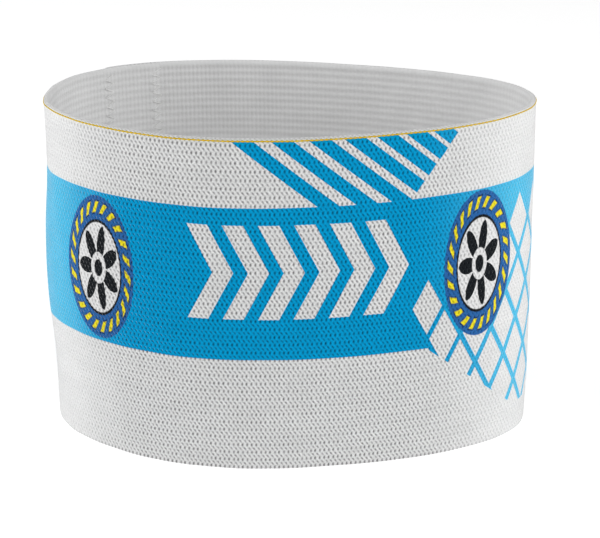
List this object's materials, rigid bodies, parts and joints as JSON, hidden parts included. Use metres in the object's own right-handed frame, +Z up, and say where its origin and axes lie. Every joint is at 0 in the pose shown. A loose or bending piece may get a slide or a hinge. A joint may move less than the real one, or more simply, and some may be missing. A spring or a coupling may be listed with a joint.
{
  "type": "captain armband",
  "caption": "Wide elastic loop worn round the upper arm, knitted smooth outside and ribbed inside, standing open on its lower edge.",
  "frame": {"origin": "bottom centre of the bounding box, on the surface that the loop stands on, under the middle of the loop", "axes": "+Z up through the open loop, +X towards its narrow end along its long way, +Y towards the back wall that holds the join"},
  "size_m": [0.1082, 0.061, 0.075],
  "materials": {
    "elastic": "white knitted elastic, matt, printed outside with a blue stripe and ornament",
    "sewing_thread": "white polyester thread of the join's stitches",
    "gold_thread": "gold-coloured thread knitted in along the upper edge, outside"
  },
  "bodies": {
    "root": {"elastic_band": "elastic"}
  },
  "joints": []
}
